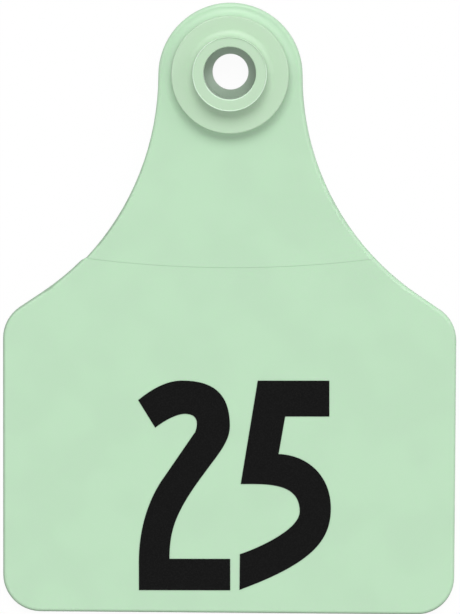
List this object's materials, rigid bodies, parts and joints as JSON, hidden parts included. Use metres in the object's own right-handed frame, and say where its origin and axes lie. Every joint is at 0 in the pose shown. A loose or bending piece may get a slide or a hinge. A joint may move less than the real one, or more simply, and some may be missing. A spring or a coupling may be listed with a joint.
{
  "type": "livestock ear tag",
  "caption": "Front half of a two-part cattle ear tag: flat panel on a tapering neck, stepped boss with a locking recess and pin hole, printed herd number.",
  "frame": {"origin": "centre of the pin hole on the back face", "axes": "+Z out of the printed face, +Y towards the rounded top of the tag, +X to the right as the number reads"},
  "size_m": [0.076, 0.1027, 0.0061],
  "materials": {
    "moulding": "satin moulded polyurethane, pale mint green",
    "ink": "matt black marking ink"
  },
  "bodies": {
    "root": {"tag_panel": "moulding", "left_numeral": "ink", "right_numeral": "ink"}
  },
  "joints": []
}
